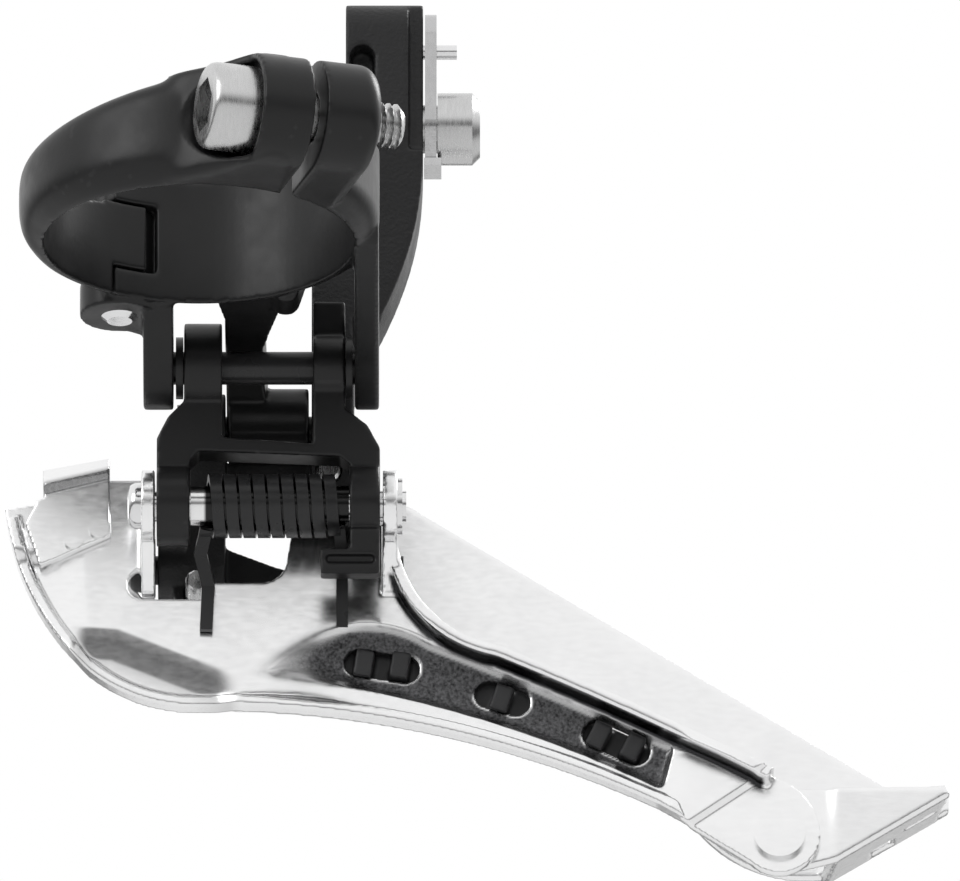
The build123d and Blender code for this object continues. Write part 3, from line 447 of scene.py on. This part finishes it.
PLATE_FACE = 34.0                       # inboard face of the inner plate
RECESS_EDGE = (
    arc((6.0, -39.8), (28.2, -44.6), (47.6, -52.7))
    + [(48.8, -47.9)]
    + arc((48.8, -47.9), (36.0, -41.8), (23.6, -36.4))
    + arc((23.6, -36.4), (19.6, -34.6), (14.6, -34.6))
    + arc((14.6, -34.6), (9.6, -36.6), (6.0, -39.8))
)
FLANGE_ROOT = (
    arc((19.1, -26.0), (22.5, -34.4), (30.4, -38.8))
    + arc((30.4, -38.8), (44.0, -45.1), (57.6, -52.2))
)
FACET_LINE = ((-12.5, -34.6), (-8.5, -34.9), (3.4, -39.9))
FRONT_CREASE = ((-11.4, -36.5), (-12.1, -26.8))
TAIL_STEP = ((50.0, -56.8), (57.4, -51.6))
TAIL_STEP_DEPTH = 0.45
TAB_STEP = ((-18.0, -20.4), (-8.6, -18.0))
SLOTS = (                               # x, z, straight length and tilt of the clip slots
    (18.7, -38.6, 4.8, -9.0),
    (31.1, -42.2, 2.9, -18.0),
    (42.8, -47.1, 4.4, -26.0),
)
SLOT_RADIUS = 1.45
RECESS_DEPTH = 0.9


def slot_rims(x, z):
    """1 close to the lower and rear edges of the clip slots, where the sheet is kept crisp and the
    painted dark reflection is held off so the sheet stays bright.
    """
    rims = np.zeros(x.shape)
    for slot_x, slot_z, length, tilt in SLOTS:
        turn = math.radians(tilt)
        run = (x - slot_x) * math.cos(turn) + (z - slot_z) * math.sin(turn)
        rise = (z - slot_z) * math.cos(turn) - (x - slot_x) * math.sin(turn)
        beyond = np.abs(run) - np.minimum(np.abs(run), length / 2)
        gap = np.hypot(beyond, rise) - SLOT_RADIUS
        near = step(0.42, 0.2, gap)
        rims = np.maximum(rims, near * step(0.8, -0.2, rise - 0.35 * run))
    return rims


def dress_inner_plate():
    """Soften the pressed recess and press in the creases, facet and tail step."""
    node = "cage_inner_plate"
    mesh = remeshed(node, 0.2, 2)
    points = points_of(mesh)
    x, y, z = points.T.copy()
    in_sheet = step(36.8, 36.2, y)

    # The recess runs out gently at its upper front end and is crisp elsewhere.
    recess = inside(x, z, RECESS_EDGE)
    gentle = step(17.0, 9.5, x) * step(-42.0, -37.0, z + 0.25 * x)
    width = 0.45 + 2.4 * gentle
    wanted = step(-width, width, recess - 0.5 * width)
    present = step(-0.15, 0.15, recess)
    in_area = step(-7.0, -5.5, recess) * in_sheet
    points[:, 1] += RECESS_DEPTH * (wanted - present) * in_area

    below = -along_path(x, z, FACET_LINE)
    facet = np.clip(below, 0.0, 3.2) * step(4.4, 1.2, x) * step(-13.5, -11.2, x)
    facet *= step(-30.0, -33.0, z)
    push = 0.24 * facet
    left = along_path(x, z, FRONT_CREASE)
    front_panel = step(-26.0, -28.0, z) * step(-38.5, -36.0, z) * step(-9.0, -12.0, x)
    push += 0.10 * np.clip(left, 0.0, 5.0) * front_panel
    toward_tail = -along_path(x, z, TAIL_STEP)
    raised = step(0.35, -0.35, toward_tail) * step(-9.0, -2.0, toward_tail)
    push -= TAIL_STEP_DEPTH * raised * step(46.0, 50.0, x)
    points[:, 1] += push * in_sheet

    weight = np.clip(0.5 * step(1.6, 0.5, np.abs(recess)) + 0.3 * gentle, 0.0, 0.5) * in_area
    weight *= 1.0 - slot_rims(x, z)
    points = relax(mesh, points, weight, 16)
    wide = 0.5 * gentle * step(4.5, 2.0, np.abs(recess)) * in_area
    points = relax(mesh, points, wide, 60)
    set_points(mesh, points)

    # Painted dark reflection: the recess and the facet get the dark grainy metal through the stored
    # grain value, held off at the slot rims.
    fade = step(-0.4 * width, 1.0 * width, recess)
    front_side = step(PLATE_FACE + 1.25, PLATE_FACE + 0.6, y) + step(0.4, 0.9, recess)
    front_side = np.clip(front_side, 0.0, 1.0)
    grain = fade * front_side * (1.0 - 0.9 * slot_rims(x, z))
    facet_shade = 0.75 * np.clip(facet / 1.2, 0.0, 1.0) * step(5.5, 1.0, below) * in_sheet
    store(mesh, "grain", np.clip(grain + 0.55 * facet_shade, 0.0, 1.0))

    # Painted shade and painted dark reflection: the underside of the flange and the neck are darkened
    # through the stored dark value.
    flange = along_path(x, z, FLANGE_ROOT)
    under_flange = step(0.5, 0.15, flange) * step(-0.6, -0.3, flange) * step(-27.0, -30.0, z)
    under_flange *= step(31.6, 32.2, y) * step(34.6, 34.0, y)
    neck_painted_shade = 0.8 * step(-26.2, -24.2, z) * step(8.0, 9.5, x) * step(17.5, 16.0, x) * in_sheet
    store(mesh, "dark", np.clip(under_flange + 0.35 * facet_shade + neck_painted_shade, 0.0, 1.0))
    add_piece("cage_inner_plate_pressed", mesh, node)


def dress_outer_plate():
    """Press the joggle into the front tab and round the sheet's edges."""
    node = "cage_outer_plate"
    mesh = remeshed(node, 0.22, 3)
    points = points_of(mesh)
    x, y, z = points.T
    above = along_path(x, z, TAB_STEP)
    on_tab = step(36.5, 35.0, y) * step(-7.0, -9.0, x)
    points[:, 1] -= 0.55 * step(-0.55, 0.55, above) * on_tab
    on_flap = step(36.9, 36.5, y) * step(64.0, 66.0, x)
    points[:, 1] -= 0.05 * np.clip(z + 62.0, 0.0, 12.0) * on_flap
    set_points(mesh, points)
    # Painted dark reflection: the bend of the tab's joggle gets the dark grainy metal through the
    # stored grain value.
    store(mesh, "grain", 0.75 * step(1.1, 0.2, np.abs(above)) * on_tab)
    add_piece("cage_outer_plate_pressed", mesh, node)


dress_inner_plate()
dress_outer_plate()


# ---------------------------------------------------------------- bolts

def add_clamp_bolt():
    """Socket-head bolt: rounded head, deep socket and a rolled thread at its tip."""
    rings = [
        (3.1, 0.3, 6), (3.1, 2.5, 6), (0.0, 2.5, 6), (0.0, 3.3, 0), (0.0, 3.6, 0),
        (0.05, 3.85, 0), (0.2, 4.12, 0), (0.45, 4.33, 0), (0.8, 4.46, 0), (1.2, 4.5, 0),
        (1.5, 4.5, 0), (5.0, 4.5, 0), (5.3, 4.42, 0), (5.4, 4.2, 0), (5.4, 2.4, 0), (15.0, 2.4, 0),
    ]
    rings += thread_rings(15.05, 20.55, 2.42, 0.8, 0.42)
    rings += [(21.0, 1.7, 0), (21.05, 0.4, 0)]
    mesh = lathe("clamp_bolt", rings, 96)
    aimed(mesh, BOLT_CENTRE + BOLT_AXIS * -6.25, BOLT_AXIS)
    add_piece("clamp_bolt_threaded", mesh, "clamp_bolt")


def add_limit_screw(node, x, z, tip):
    """Threaded stop screw with its socket outboard."""
    rings = [(0.0, 0.3, 0), (0.0, 1.0, 0)] + thread_rings(0.35, 8.6, 1.34, 0.5, 0.28)
    rings += [(8.9, 1.15, 0), (9.0, 1.0, 6), (7.4, 0.9, 6), (7.4, 0.2, 6)]
    mesh = lathe(node, rings, 48)
    aimed(mesh, (x, tip, z), (0.0, 1.0, 0.0))
    add_piece(node + "_threaded", mesh, node)


add_clamp_bolt()
add_limit_screw("low_limit_screw", -0.3, -28.9, 35.3)
add_limit_screw("high_limit_screw", 13.2, -16.2, 36.0)


# ---------------------------------------------------------------- machined parts kept from the CAD

SPECIAL = {
    "spring_bush": sleeve_painted_dark_in_coil("spring_sleeve"),
    "cable_washer_plate": plated_steel("washer_plate", 0.55, 0.24, (1.0, 3.0, 0.4)),
}
for node, obj in frame["nodes"].items():
    obj.data.materials.clear()
    obj.data.materials.append(SPECIAL.get(node, MATERIALS[SLOT_OF[node]]))
    bevel = obj.modifiers.new("edge", "BEVEL")
    bevel.width = (0.32 if node == "cable_washer_plate" else 0.12) * MM
    bevel.segments = 3
    bevel.limit_method = "ANGLE"
    bevel.angle_limit = math.radians(35)
    bevel.harden_normals = False


# ---------------------------------------------------------------- stage

LOOK_UP = math.radians(22.0)            # the camera looks up at the object from below
CAMERA_DISTANCE = 4000.0                # far off, with a long lens: almost no perspective
LENS = 1458.4
CENTRE = Vector((28.8, 20.0, -19.6))    # what the middle of the picture falls on
STUDIO_STOPS = (                        # height on the sky, 0 below and 1 above, and brightness
    (0.0, 0.55), (0.30, 0.30), (0.44, 0.12), (0.50, 0.22), (0.585, 0.72), (0.64, 1.0), (1.0, 1.0),
)


def add_camera():
    data = bpy.data.cameras.new("camera")
    data.lens = LENS
    data.clip_end = 60.0
    camera = bpy.data.objects.new("camera", data)
    back = Vector((0.0, -math.cos(LOOK_UP), -math.sin(LOOK_UP)))
    camera.location = (CENTRE + back * CAMERA_DISTANCE) * MM
    camera.rotation_euler = (-back).to_track_quat("-Z", "Y").to_euler()
    bpy.context.scene.collection.objects.link(camera)
    bpy.context.scene.camera = camera


def add_floor():
    """Plain pale floor, below the camera."""
    mesh = bpy.data.meshes.new("floor")
    half = 15.0
    height = -3.0
    corners = [(x, y, height) for x, y in ((-half, -half), (half, -half), (half, half), (-half, half))]
    mesh.from_pydata(corners, [], [(0, 1, 2, 3)])
    floor = bpy.data.objects.new("floor", mesh)
    bpy.context.scene.collection.objects.link(floor)
    material, tree, shader = new_material("floor")
    shader.inputs["Base Color"].default_value = (0.86, 0.86, 0.86, 1.0)
    shader.inputs["Roughness"].default_value = 0.9
    mesh.materials.append(material)


def add_softbox(name, place, size, power):
    """Area light aimed at the object."""
    data = bpy.data.lights.new(name, "AREA")
    data.shape = "RECTANGLE"
    data.size, data.size_y = size
    data.energy = power
    light = bpy.data.objects.new(name, data)
    light.location = place
    light.rotation_euler = (CENTRE * MM - Vector(place)).to_track_quat("-Z", "Y").to_euler()
    bpy.context.scene.collection.objects.link(light)


def add_world():
    """White to the camera; a soft studio gradient for everything else."""
    world = bpy.data.worlds.new("studio")
    world.use_nodes = True
    tree = world.node_tree
    tree.nodes.clear()
    output = tree.nodes.new("ShaderNodeOutputWorld")
    chooser = tree.nodes.new("ShaderNodeMixShader")
    rays = tree.nodes.new("ShaderNodeLightPath")
    white = tree.nodes.new("ShaderNodeBackground")
    white.inputs["Color"].default_value = (1.0, 1.0, 1.0, 1.0)
    studio = tree.nodes.new("ShaderNodeBackground")
    coords = tree.nodes.new("ShaderNodeTexCoord")
    split = tree.nodes.new("ShaderNodeSeparateXYZ")
    tone = tree.nodes.new("ShaderNodeValToRGB")
    shift = tree.nodes.new("ShaderNodeMapRange")
    shift.inputs["From Min"].default_value = -1.0
    shift.inputs["From Max"].default_value = 1.0
    tree.links.new(coords.outputs["Generated"], split.inputs["Vector"])
    tree.links.new(split.outputs["Z"], shift.inputs["Value"])
    tree.links.new(shift.outputs["Result"], tone.inputs["Fac"])
    ramp_points = tone.color_ramp.elements
    while len(ramp_points) < len(STUDIO_STOPS):
        ramp_points.new(0.5)
    for point, (position, level) in zip(ramp_points, STUDIO_STOPS):
        point.position = position
        point.color = (level, level, level, 1.0)
    tree.links.new(tone.outputs["Color"], studio.inputs["Color"])
    tree.links.new(rays.outputs["Is Camera Ray"], chooser.inputs["Fac"])
    tree.links.new(studio.outputs["Background"], chooser.inputs[1])
    tree.links.new(white.outputs["Background"], chooser.inputs[2])
    tree.links.new(chooser.outputs["Shader"], output.inputs["Surface"])
    bpy.context.scene.world = world


add_camera()
add_floor()
add_world()
add_softbox("key_light", (0.7, 0.5, 0.7), (0.5, 0.5), 6.0)
add_softbox("fill_light", (-0.7, -0.6, 0.4), (0.6, 0.6), 3.0)
bpy.context.scene.view_settings.view_transform = "Standard"
